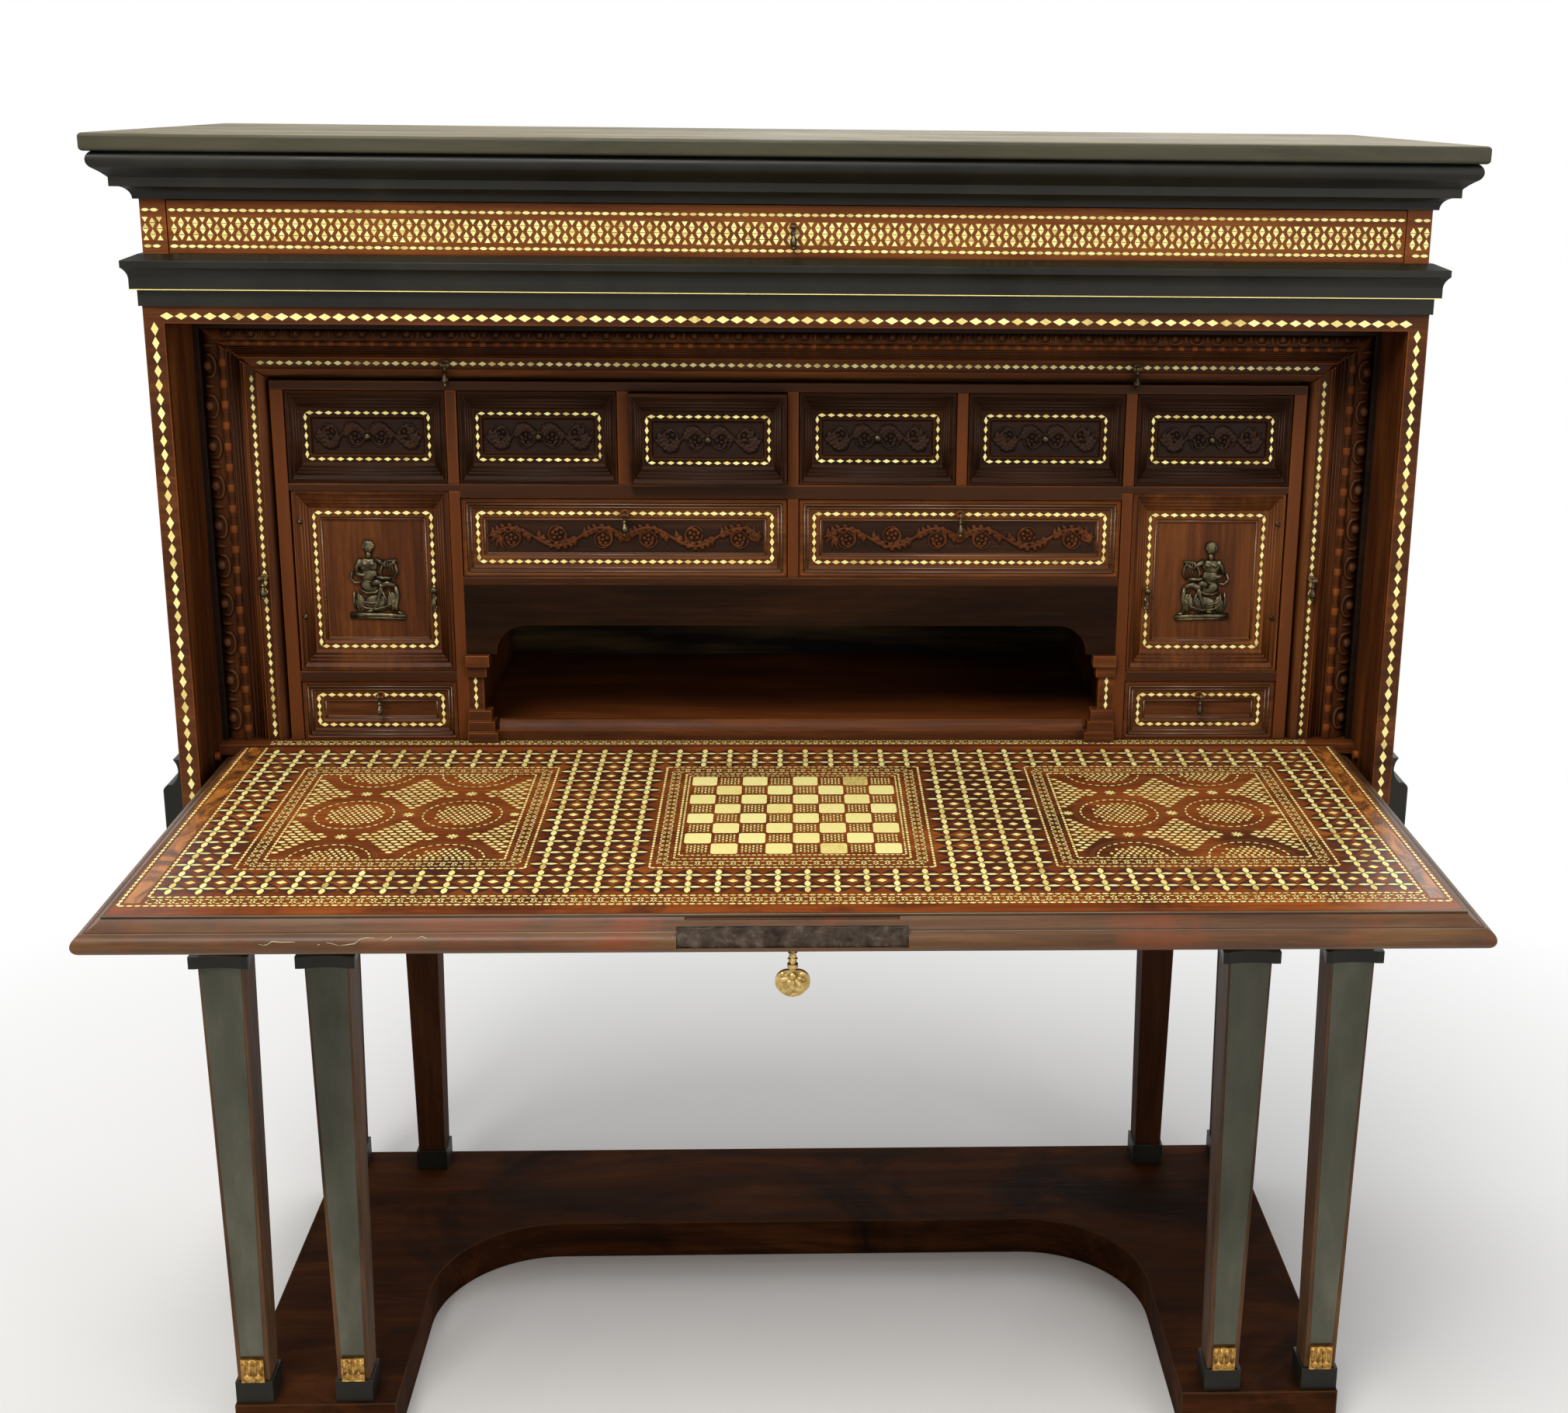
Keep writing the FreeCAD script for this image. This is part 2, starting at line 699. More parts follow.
def make_stand_frame():
    """Four rails on the capitals, on which the case stands."""
    half_rail = s.frame_rail_width / 2
    outer = COLUMN_OUTER_X + half_rail
    inner = COLUMN_OUTER_X - half_rail
    front = -s.column_front_y
    rear = COLUMN_REAR_Y
    z = (DOSSERET_TOP, DOSSERET_TOP + s.frame_rail_height)
    rails = [
        block("stand_rail_front", (-outer, outer), centred(front, s.frame_rail_width), z),
        block("stand_rail_rear", (-outer, outer), centred(rear, s.frame_rail_width), z),
    ]
    between = (front + half_rail, rear - half_rail)
    rails.append(block("stand_rail_left", (-outer, -inner), between, z))
    rails.append(block("stand_rail_right", (inner, outer), between, z))
    node(group("stand_frame", rails), "stand_frame")


def make_case_bottom():
    """The bottom board, the front rail with notches for the supports, and their guides."""
    board = block("bottom_board", (-CASE_INNER, CASE_INNER), (ZERO, CASE_BACK_FACE),
                  (CASE_BOTTOM, CASE_FLOOR))
    rail = block("bottom_rail", (-CASE_INNER, CASE_INNER), (ZERO, s.case_rail_front_thickness),
                 (CASE_FLOOR, CASE_BOTTOM + s.case_rail_front_height))
    slot = s.loper_width + s.sliding_gap * 2
    guide_top = CASE_BOTTOM + s.case_rail_front_height
    notches = []
    guides = []
    for side in (-1, 1):
        x = LOPER_X * side
        tag = "left" if side < 0 else "right"
        notches.append(block("notch_" + tag, centred(x, slot),
                             (-s.overrun, s.case_rail_front_thickness + s.overrun),
                             (CASE_FLOOR, LEAF_SURFACE)))
        for edge, name in ((-1, "outer"), (1, "inner")):
            near = x + slot / 2 * edge
            far = near + s.loper_guide_width * edge
            span = (near, far) if edge > 0 else (far, near)
            guides.append(block("guide_%s_%s" % (tag, name), span,
                                (s.case_rail_front_thickness, CASE_BACK_FACE), (CASE_FLOOR, guide_top)))
    front = cut("bottom_front", rail, notches)
    base = fused("case_bottom_solid", [board, front])
    node(group("case_bottom", [base] + guides), "case_bottom")


def make_case_sides():
    """Two side boards with the pivot holes of the leaf."""
    sides = []
    for side in (-1, 1):
        tag = "left" if side < 0 else "right"
        board = block("side_board_" + tag, mirrored(side, CASE_INNER, s.case_half_width),
                      (s.face_frame_thickness, s.case_depth), (CASE_BOTTOM, CASE_TOP))
        start = (CASE_INNER - s.overrun) * side
        depth = s.overrun + s.leaf_pivot_reach - (CASE_INNER - LEAF_HALF) + s.overrun
        hole = cylinder("pivot_hole_" + tag, s.leaf_pivot_radius + s.pivot_clearance, depth,
                        (start, PIVOT_Y, PIVOT_Z), (side, 0, 0))
        sides.append(cut("case_side_" + tag, board, [hole]))
    node(group("case_sides", sides), "case_sides")


def make_case_shell():
    """Back panel, roof board and the inlaid face frame round the opening."""
    back = block("case_back", (-CASE_INNER, CASE_INNER), (CASE_BACK_FACE, s.case_depth),
                 (CASE_BOTTOM, CASE_TOP))
    node(back, "case_back")
    roof = block("case_roof", (-CASE_INNER, CASE_INNER), (s.face_frame_thickness, CASE_BACK_FACE),
                 (ROOF_BOTTOM, CASE_TOP))
    node(roof, "case_roof")
    slab = block("face_slab", (-s.case_half_width, s.case_half_width), (ZERO, s.face_frame_thickness),
                 (CASE_BOTTOM, CASE_TOP))
    mouth = block("face_mouth", (-CASE_INNER, CASE_INNER), (-s.overrun, s.face_frame_thickness + s.overrun),
                  (CASE_BOTTOM - s.overrun, ROOF_BOTTOM))
    node(cut("face_frame", slab, [mouth]), "face_frame")


def round_the_case(half, front, back, z):
    """A route from the back, round both front corners and to the back again."""
    return [
        vector(-half, back, z),
        vector(-half, front, z),
        vector(half, front, z),
        vector(half, back, z),
    ]


def side_profile(half, back, steps):
    """A profile at the back left end of a route: points (projection, height)."""
    points = []
    for step in steps:
        if step[0] == "through":
            points.append(("through", vector(-half - step[1], back, step[2])))
        else:
            points.append(vector(-half - step[0], back, step[1]))
    return points


def make_mouldings():
    """Waist moulding and cornice on three sides, and the base moulding at both sides."""
    half = s.case_half_width
    z = CASE_TOP
    foot = z + s.waist_foot_height
    tip = FRIEZE_BOTTOM - s.waist_tip_drop
    lip = tip - s.waist_lip
    hollow = (s.waist_body_projection + s.waist_tip_projection) / 2
    waist = [
        (ZERO, z),
        (s.waist_foot_projection, z),
        (s.waist_foot_projection, foot),
        (s.waist_body_projection, foot),
        (s.waist_body_projection, (foot + lip) / 2),
        ("through", hollow - s.waist_foot_projection / 2, (foot + lip * 3) / 4),
        (s.waist_tip_projection, lip),
        (s.waist_tip_projection, tip),
        (ZERO, FRIEZE_BOTTOM),
    ]
    node(swept("waist_moulding", side_profile(half, s.case_depth, waist),
               round_the_case(half, ZERO, s.case_depth, z)), "waist_moulding")

    frieze_half = half - s.frieze_inset
    z = FRIEZE_TOP
    cove = z + s.cornice_cove_height
    step = cove + s.cornice_step_height
    ovolo = CORNICE_TOP - s.cornice_ovolo_drop
    top = s.cornice_top_projection
    swell = (step + ovolo) / 2
    cornice = [
        (ZERO, z),
        (s.cornice_fillet_projection, z),
        ("through", s.cornice_fillet_projection + (s.cornice_cove_projection
                    - s.cornice_fillet_projection) * CORNICE_COVE_SHARES[0],
         z + s.cornice_cove_height * CORNICE_COVE_SHARES[1]),
        (s.cornice_cove_projection, cove),
        (s.cornice_cove_projection + s.cornice_step, cove),
        (s.cornice_cove_projection + s.cornice_step, step),
        ("through", s.cornice_cove_projection + s.cornice_step
         + (top - s.cornice_cove_projection - s.cornice_step) * CORNICE_OVOLO_SHARE, swell),
        (top - s.cornice_step, ovolo),
        ("through", top, (ovolo + CORNICE_TOP) / 2),
        (top - s.cornice_step, CORNICE_TOP),
        (ZERO, CORNICE_TOP),
    ]
    node(swept("cornice_moulding", side_profile(frieze_half, s.case_depth, cornice),
               round_the_case(frieze_half, s.frieze_inset, s.case_depth, z)), "cornice_moulding")

    z = CASE_BOTTOM
    block_top = z + s.base_block_height
    cavetto_top = block_top + s.base_cavetto_height
    base = [
        (ZERO, z),
        (s.base_block_projection, z),
        (s.base_block_projection, block_top - s.base_cavetto_projection),
        ("through", s.base_block_projection * BASE_SHOULDER_SHARES[0],
         block_top - s.base_cavetto_projection * BASE_SHOULDER_SHARES[1]),
        (s.base_block_projection / 2, block_top),
        ("through", s.base_block_projection * BASE_CAVETTO_SHARE, (block_top + cavetto_top) / 2),
        (s.base_cavetto_projection, cavetto_top),
        (ZERO, cavetto_top),
    ]
    pieces = []
    for side in (-1, 1):
        points = []
        for item in base:
            mark = item[0] == "through"
            out, up = (item[1], item[2]) if mark else item
            place = vector((half + out) * side, ZERO, up)
            points.append(("through", place) if mark else place)
        name = "base_moulding_" + ("left" if side < 0 else "right")
        pieces.append(prism(name, points, (0, 1, 0), s.case_depth))
    node(group("base_moulding", pieces), "base_moulding")


def make_frieze():
    """The open frame that holds the frieze drawer, and the top board."""
    half = s.case_half_width - s.frieze_inset
    drawer = FRIEZE_DRAWER_HALF
    front = s.frieze_inset
    floor = block("frieze_floor", (-s.case_half_width, s.case_half_width), (ZERO, s.case_depth),
                  (CASE_TOP, FRIEZE_BOTTOM))
    ends = []
    for side in (-1, 1):
        tag = "left" if side < 0 else "right"
        ends.append(block("frieze_end_" + tag, mirrored(side, drawer, half), (front, s.case_depth),
                          (FRIEZE_BOTTOM, FRIEZE_TOP)))
    back = block("frieze_back", (-drawer, drawer), (CASE_BACK_FACE, s.case_depth),
                 (FRIEZE_BOTTOM, FRIEZE_TOP))
    cover = block("cornice_core", (-half, half), (front, s.case_depth), (FRIEZE_TOP, CORNICE_TOP))
    node(fused("frieze_frame", [floor] + ends + [back, cover]), "frieze_frame")
    over = s.top_board_overhang
    slab = block("top_slab", (-half - over, half + over), (front - over, s.case_depth
                 + s.top_board_back_overhang), (CORNICE_TOP, CORNICE_TOP + s.top_board_thickness))
    doc.recompute()
    board = doc.addObject("Part::Fillet", "top_board")
    board.Base = slab
    radius = s.top_board_edge_radius.value
    front_y = (FACE + front - over).value
    edges = []
    for number, edge in enumerate(slab.Shape.Edges, start=1):
        ends_y = [vertex.Point.y for vertex in edge.Vertexes]
        ends_z = [vertex.Point.z for vertex in edge.Vertexes]
        at_front = max(ends_y) - front_y < radius
        upright = abs(ends_z[0] - ends_z[1]) > radius
        along_side = abs(ends_y[0] - ends_y[1]) > radius
        if (at_front and not upright) or along_side:
            edges.append((number, radius, radius))
    board.Edges = edges
    node(board, "top_board")


def make_carcase():
    """Floor, linings, shelves and dividers that form the cells of the interior."""
    inner = CARCASE_HALF
    front = CARCASE_FRONT
    span = (front, CASE_BACK_FACE)
    floor = block("carcase_floor_board", (-CASE_INNER, CASE_INNER), (CARCASE_FLOOR_FRONT, CASE_BACK_FACE),
                  (FLOOR_BOTTOM, CARCASE_FLOOR))
    node(floor, "carcase_floor")
    linings = [block("carcase_lid", (-CASE_INNER, CASE_INNER), span, (CARCASE_ROOF, ROOF_BOTTOM))]
    for side in (-1, 1):
        tag = "left" if side < 0 else "right"
        linings.append(block("lining_" + tag, mirrored(side, inner, CASE_INNER), span,
                             (CARCASE_FLOOR, CARCASE_ROOF)))
    node(fused("carcase_linings", linings), "carcase_linings")

    shelves = [
        block("top_shelf", (-BLOCK_HALF, BLOCK_HALF), span,
              (SMALL_CELL_TOP, TOP_SHELF)),
        block("row_shelf", (-BLOCK_INNER, BLOCK_INNER), span, (SHELF_BOTTOM, ROW_SHELF)),
        block("wide_rail", (-NICHE_WALL, NICHE_WALL), (front, front + s.front_thickness),
              (WIDE_CELL_TOP, SHELF_BOTTOM)),
        block("wide_shelf", (-NICHE_WALL, NICHE_WALL), span, (APRON_TOP, WIDE_SHELF)),
    ]
    for side in (-1, 1):
        tag = "left" if side < 0 else "right"
        shelves.append(block("low_shelf_" + tag, mirrored(side, SIDE_CELL_INNER, BLOCK_INNER), span,
                             (LOW_CELL_TOP, LOW_SHELF)))
    holes = []
    for side in (-1, 1):
        tag = "left" if side < 0 else "right"
        x, y = door_axis(side)
        radius = s.door_pin_radius + s.pivot_clearance
        holes.append(cylinder("pin_hole_low_" + tag, radius, s.door_pin_reach + s.overrun,
                              (x, y, LOW_SHELF - s.door_pin_reach - s.sliding_gap), (0, 0, 1)))
        holes.append(cylinder("pin_hole_high_" + tag, radius, s.door_pin_reach + s.overrun,
                              (x, y, SHELF_BOTTOM + s.door_pin_reach + s.sliding_gap), (0, 0, -1)))
    node(cut("carcase_shelves", fused("shelf_boards", shelves), holes), "carcase_shelves")

    walls = []
    top = SMALL_CELL_TOP
    for side in (-1, 1):
        tag = "left" if side < 0 else "right"
        walls.append(block("block_side_" + tag, mirrored(side, BLOCK_INNER, BLOCK_HALF), span,
                           (CARCASE_FLOOR, top)))
        walls.append(block("niche_wall_" + tag, mirrored(side, NICHE_WALL, SIDE_CELL_INNER), span,
                           (CARCASE_FLOOR, SHELF_BOTTOM)))
    walls.append(block("wide_divider", centred(ZERO, s.cell_divider), span, (WIDE_SHELF, WIDE_CELL_TOP)))
    walls.append(block("wide_divider_head", centred(ZERO, s.cell_divider),
                       (front + s.front_thickness, CASE_BACK_FACE),
                       (WIDE_CELL_TOP, SHELF_BOTTOM)))
    for gap in range(1, SMALL_DRAWERS):
        x = CELL_PITCH * gap - BLOCK_INNER - s.cell_divider / 2
        walls.append(block("row_divider_%d" % gap, centred(x, s.cell_divider), span, (ROW_SHELF, top)))
    node(group("carcase_dividers", walls), "carcase_dividers")


def make_niche():
    """Apron with round inner corners, pilasters with caps and stepped bases, and a threshold."""
    front = CARCASE_FRONT
    radius = s.niche_corner_radius
    knee = radius * math.sqrt(0.5)
    opening = NICHE_WALL - s.pilaster_width
    head = NICHE_HEAD
    points = [
        vector(-NICHE_WALL, front, head - radius),
        vector(-opening, front, head - radius),
        ("through", vector(-opening + radius - knee, front, head - radius + knee)),
        vector(radius - opening, front, head),
        vector(opening - radius, front, head),
        ("through", vector(opening - radius + knee, front, head - radius + knee)),
        vector(opening, front, head - radius),
        vector(NICHE_WALL, front, head - radius),
        vector(NICHE_WALL, front, APRON_TOP),
        vector(-NICHE_WALL, front, APRON_TOP),
    ]
    node(prism("niche_apron", points, (0, 1, 0), s.niche_apron_thickness), "niche_apron")
    pieces = []
    foot = CARCASE_FLOOR
    shoulder = head - radius
    shaft = s.pilaster_width - s.pilaster_step * 4
    for side in (-1, 1):
        tag = "left" if side < 0 else "right"
        blocks = [block("pilaster_shaft_" + tag, mirrored(side, NICHE_WALL - shaft, NICHE_WALL),
                        (front, front + s.pilaster_depth), (foot, shoulder))]
        for step in range(3):
            low = foot + s.pilaster_base_height / 3 * step
            reach = s.pilaster_width - s.pilaster_step * step
            blocks.append(block("pilaster_base_%s_%d" % (tag, step),
                                mirrored(side, NICHE_WALL - reach, NICHE_WALL),
                                (front - s.pilaster_step * (3 - step), front + s.pilaster_depth),
                                (low, low + s.pilaster_base_height / 3)))
        cap = shoulder - s.pilaster_cap_height
        for step in range(2):
            low = cap + s.pilaster_cap_height / 2 * step
            reach = shaft + s.pilaster_step * (step + 1)
            blocks.append(block("pilaster_cap_%s_%d" % (tag, step),
                                mirrored(side, NICHE_WALL - reach, NICHE_WALL),
                                (front - s.pilaster_step * (step + 1), front + s.pilaster_depth),
                                (low, low + s.pilaster_cap_height / 2)))
        pieces.append(fused("pilaster_" + tag, blocks))
    between = NICHE_WALL - s.pilaster_width
    slope = s.threshold_height / 2
    sill = [
        vector(-between, front, foot),
        vector(-between, front, foot + slope),
        ("through", vector(-between, front + s.threshold_depth * THRESHOLD_CURVE_SHARES[0],
                           foot + slope * THRESHOLD_CURVE_SHARES[1])),
        vector(-between, front + s.threshold_depth / 2, foot + s.threshold_height),
        vector(-between, front + s.threshold_depth, foot + s.threshold_height),
        vector(-between, front + s.threshold_depth, foot),
    ]
    pieces.append(prism("threshold", sill, (1, 0, 0), between * 2))
    node(group("niche_pilasters", pieces), "niche_pilasters")


def make_lopers():
    """Two sliding supports that carry the open leaf."""
    for side, tag in ((-1, "left"), (1, "right")):
        bottom = CASE_FLOOR + s.sliding_gap
        bar = block("loper_" + tag, centred(LOPER_X * side, s.loper_width),
                    (-LOPER_REACH, s.loper_tail), (bottom, bottom + s.loper_height))
        node(bar, "loper_" + tag)


def make_leaf():
    """The leaf board with its pivots, its moulded edge on three sides, and the lock plate."""
    width = s.leaf_moulding_width
    inner = LEAF_HALF - width
    front = -LEAF_FRONT
    slab = block("leaf_slab", (-inner, inner), (front + width, s.leaf_back), (LEAF_BOTTOM, LEAF_SURFACE))
    heel = s.leaf_heel_radius
    heel_z = LEAF_BOTTOM + heel
    heel_y = s.leaf_back - heel
    waste = [
        vector(-inner, s.leaf_back, heel_z),
        ("through", vector(-inner, heel_y + heel * math.sqrt(0.5), heel_z - heel * math.sqrt(0.5))),
        vector(-inner, heel_y, LEAF_BOTTOM),
        vector(-inner, s.leaf_back, LEAF_BOTTOM),
    ]
    heel_cut = prism("leaf_heel", waste, (1, 0, 0), inner * 2)
    bore = cylinder("key_bore", s.key_stem_radius + s.key_bore_clearance,
                    s.key_bit_depth + s.overrun + s.sliding_gap,
                    (ZERO, -KEY_Y, LEAF_BOTTOM - s.overrun), (0, 0, 1))
    board = cut("leaf_panel", slab, [heel_cut])

    radius = s.leaf_bullnose_radius
    nose_z = LEAF_BOTTOM + radius
    rise = LEAF_SURFACE - s.leaf_fillet_drop
    nose_top = nose_z + radius
    middle = (radius + width - s.leaf_fillet_width) / 2
    section = [
        (width, LEAF_BOTTOM),
        (radius, LEAF_BOTTOM),
        ("through", ZERO, nose_z),
        (radius, nose_top),
        ("through", middle, (nose_top + rise) / 2 - s.leaf_fillet_drop / 2),
        (width - s.leaf_fillet_width, rise),
        (width - s.leaf_fillet_width, LEAF_SURFACE),
        (width, LEAF_SURFACE),
    ]
    profile = []
    for item in section:
        mark = item[0] == "through"
        inward, up = (item[1], item[2]) if mark else item
        place = vector(inward - LEAF_HALF, s.leaf_back, up)
        profile.append(("through", place) if mark else place)
    route = round_the_case(LEAF_HALF, front, s.leaf_back, LEAF_BOTTOM)
    edge = swept("leaf_edge", profile, route)
    seat_low = LEAF_BOTTOM + s.lock_plate_seat
    seat = block("lock_seat", centred(ZERO, s.lock_plate_half_width * 2),
                 (front - s.overrun, front + s.lock_plate_seat), (seat_low, seat_low + s.lock_plate_height))
    scar = block("lock_scar", centred(ZERO, s.lock_scar_half_width * 2),
                 (front - s.overrun, front + width - s.leaf_fillet_width),
                 (LEAF_SURFACE - s.lock_scar_drop, LEAF_SURFACE + s.overrun))
    node(cut("leaf_moulding", edge, [seat, scar, bore]), "leaf_moulding")
    pivots = []
    for side in (-1, 1):
        tag = "left" if side < 0 else "right"
        pivots.append(cylinder("pivot_" + tag, s.leaf_pivot_radius, s.leaf_pivot_reach,
                               (LEAF_HALF * side, PIVOT_Y, PIVOT_Z), (side, 0, 0)))
    node(group("leaf_board", [board] + pivots), "leaf_board")
    plate_back = front + s.lock_plate_seat
    plate = block("lock_plate", centred(ZERO, s.lock_plate_half_width * 2),
                  (plate_back - s.lock_plate_thickness, plate_back),
                  (seat_low, seat_low + s.lock_plate_height))
    node(plate, "lock_plate")


def make_key():
    """The key that hangs in the lock: bit end in the bore, collar, and a shell-shaped bow."""
    y = -KEY_Y
    top = LEAF_BOTTOM + s.key_bit_depth
    stem_low = LEAF_BOTTOM - s.key_stem_length
    stem = cylinder("key_stem", s.key_stem_radius, top - stem_low, (ZERO, y, stem_low), (0, 0, 1))
    collar = cylinder("key_collar", s.key_collar_radius, s.key_collar_height, (ZERO, y, stem_low), (0, 0, 1))
    half = s.key_bow_width / 2
    front = y - s.key_bow_thickness / 2
    neck_top = stem_low + s.key_collar_height

    def bow_point(side, which):
        out, down = BOW_SHARES[which]
        x = s.key_stem_radius * side if which == "shoulder" else half * (out * side)
        return vector(x, front, stem_low - s.key_bow_height * down)

    points = [
        vector(-s.key_stem_radius, front, neck_top),
        bow_point(-1, "shoulder"),
        ("through", bow_point(-1, "swell")),
        bow_point(-1, "corner"),
        ("through", bow_point(1, "tip")),
        bow_point(1, "corner"),
        ("through", bow_point(1, "swell")),
        bow_point(1, "shoulder"),
        vector(s.key_stem_radius, front, neck_top),
    ]
    bow = prism("key_bow", points, (0, 1, 0), s.key_bow_thickness)
    node(fused("key", [stem, collar, bow]), "key")


def framed_front(name, x, y, z, thickness, slopes, sunk, bevel, shares):
    """A front with a stepped moulding, a flat band for the string, and a sunk bevelled panel."""
    slab = block(name + "_slab", x, (y, y + thickness), z)
    middle_x = (x[0] + x[1]) / 2
    middle_z = (z[0] + z[1]) / 2
    half_x = (x[1] - x[0]) / 2
    half_z = (z[1] - z[0]) / 2
    tools = []
    level = ZERO

    def sink(margins, reaches, depth):
        low = (half_x - margins[0], half_z - margins[1])
        high = (low[0] - reaches[0], low[1] - reaches[1])
        tools.append(frustum("%s_sink_%d" % (name, len(tools)), low, high,
                             (middle_x, y + level, middle_z), depth, "y"))
        return level + depth

    for start, reach, depth in shares:
        level = sink([s.front_edge + slope * start for slope in slopes],
                     [slope * reach for slope in slopes], sunk * depth)
    sink([s.front_edge + slope + s.string_band for slope in slopes], [bevel, bevel], s.panel_bevel_depth)
    return cut(name + "_front", slab, tools)


def tray(name, x, y, z):
    """An open-topped box of thin boards behind a front."""
    body = block(name + "_body", x, y, z)
    hollow = block(name + "_hollow", (x[0] + s.tray_wall, x[1] - s.tray_wall),
                   (y[0] + s.tray_wall, y[1] - s.tray_wall), (z[0] + s.tray_floor, z[1] + s.overrun))
    return cut(name + "_liner", body, [hollow])


def staple(name, x, y, z, ground):
    """The fixed half of a drop pull: a plate, two lugs and a cross pin."""
    reach = s.pull_pin_length / 2
    pin_y = y - s.pull_standoff
    pin = rod(name + "_pin", s.pull_pin_radius, s.pull_pin_length, (x - reach, pin_y, z), (1, 0, 0))
    parts = [pin]
    for side in (-1, 1):
        near = x + (reach - s.pull_lug_width) * side
        far = x + reach * side
        span = (near, far) if side > 0 else (far, near)
        parts.append(block("%s_lug_%s" % (name, "l" if side < 0 else "r"), span,
                           (pin_y - s.pull_pin_radius, ground), centred(z, s.pull_pin_radius * 2)))
    plate = rod(name + "_plate", s.pull_plate_radius, s.pull_plate_thickness,
                (x, ground - s.pull_plate_thickness, z), (0, 1, 0))
    return fused(name + "_staple", parts + [plate])


def drop_pull(name, x, y, z):
    """The swinging half of a drop pull: an eye on the pin and a turned drop below it."""
    pin_y = y - s.pull_standoff
    eye = rod(name + "_eye", PULL_EYE_RADIUS, s.pull_eye_thickness,
              (x - s.pull_eye_thickness / 2, pin_y, z), (1, 0, 0))
    rings = [(s.pull_neck_radius, -PULL_EYE_RADIUS + s.pull_eye_wall / 2)]
    for out, down in PULL_DROP_SHARES:
        rings.append((s.pull_drop_radius * out, -s.pull_drop_length * down))
    drop = faceted(name + "_drop", rings, (x, pin_y, z), (0, 0, 1))
    bore = rod(name + "_bore", s.pull_pin_radius + s.pull_eye_clearance,
               s.pull_eye_thickness + s.overrun * 2,
               (x - s.pull_eye_thickness / 2 - s.overrun, pin_y, z), (1, 0, 0))
    label = "pull_" + name
    node(cut(label, fused(name + "_solid", [eye, drop]), [bore]), label)


def fixed_knob(name, seat):
    """A small turned knob that stands out of a front."""
    rings = [(s.knob_radius * out, s.knob_length * up) for out, up in KNOB_SHARES]
    return faceted(name + "_knob", rings, seat, (0, -1, 0))


def small_drawer(number):
    """One of the six small drawers of the upper row, with a fixed knob. One stands a little out."""
    left = CELL_PITCH * (number - 1) - BLOCK_INNER
    x = (left + s.fit_gap, left + CELL_WIDTH - s.fit_gap)
    z = (ROW_SHELF + s.sliding_gap, SMALL_CELL_TOP - s.fit_gap)
    out = s.ajar_drawer_reach if number == AJAR_DRAWER else ZERO
    plane = FRONT_PLANE - out
    name = "small_drawer_%d" % number
    front = framed_front(name, x, plane, z, s.front_thickness,
                         (s.small_front_side_slope, s.small_front_head_slope), s.reeded_slope_depth,
                         s.small_panel_bevel, REEDED_STEP_SHARES)
    box = tray(name, x, (plane + s.front_thickness, TRAY_END - out), (z[0], z[1] - s.tray_top_gap))
    ground = plane + s.reeded_slope_depth + s.panel_bevel_depth
    knob = fixed_knob(name, ((x[0] + x[1]) / 2, ground, (z[0] + z[1]) / 2))
    node(group(name, [front, box, knob]), name)


def pulled_drawer(name, x, z):
    """A drawer with a framed front, a tray and a drop pull in the middle."""
    front = framed_front(name, x, FRONT_PLANE, z, s.front_thickness, (s.front_slope, s.front_slope),
                         s.front_slope_depth, s.panel_bevel, FRONT_STEP_SHARES)
    box = tray(name, x, (FRONT_PLANE + s.front_thickness, TRAY_END), (z[0], z[1] - s.tray_top_gap))
    pull_x = (x[0] + x[1]) / 2
    pull_z = z[1] - s.front_edge - s.front_slope - s.string_band / 2
    ground = FRONT_PLANE + s.front_slope_depth
    parts = [front, box, staple(name, pull_x, FRONT_PLANE, pull_z, ground)]
    drop_pull(name, pull_x, FRONT_PLANE, pull_z)
    return parts


def make_drawers():
    """Small, wide and lower drawers."""
    for number in range(1, SMALL_DRAWERS + 1):
        small_drawer(number)
    wall = s.cell_divider / 2
    z = (WIDE_SHELF + s.sliding_gap, WIDE_CELL_TOP - s.fit_gap)
    for side, tag in ((-1, "left"), (1, "right")):
        x = mirrored(side, wall + s.fit_gap, NICHE_WALL - s.fit_gap)
        name = "wide_drawer_" + tag
        node(group(name, pulled_drawer(name, x, z)), name)
    z = (CARCASE_FLOOR + s.sliding_gap, LOW_CELL_TOP - s.fit_gap)
    for side, tag in ((-1, "left"), (1, "right")):
        x = mirrored(side, SIDE_CELL_INNER + s.fit_gap, BLOCK_INNER - s.fit_gap)
        name = "lower_drawer_" + tag
        parts = pulled_drawer(name, x, z)
        if side > 0:
            tray_front = FRONT_PLANE + s.front_thickness + s.tray_wall
            lid_top = z[1] - s.tray_top_gap
            parts.append(block("till_lid", (x[0] + s.tray_wall, (x[0] + x[1]) / 2),
                               (tray_front, (tray_front + TRAY_END) / 2),
                               (lid_top - s.tray_floor, lid_top)))
        node(group(name, parts), name)


def door_axis(side):
    """Where a door's pins stand, near its outer front corner."""
    inset = s.door_pin_inset
    return ((BLOCK_INNER - s.door_hinge_gap - inset) * side, FRONT_PLANE + inset)


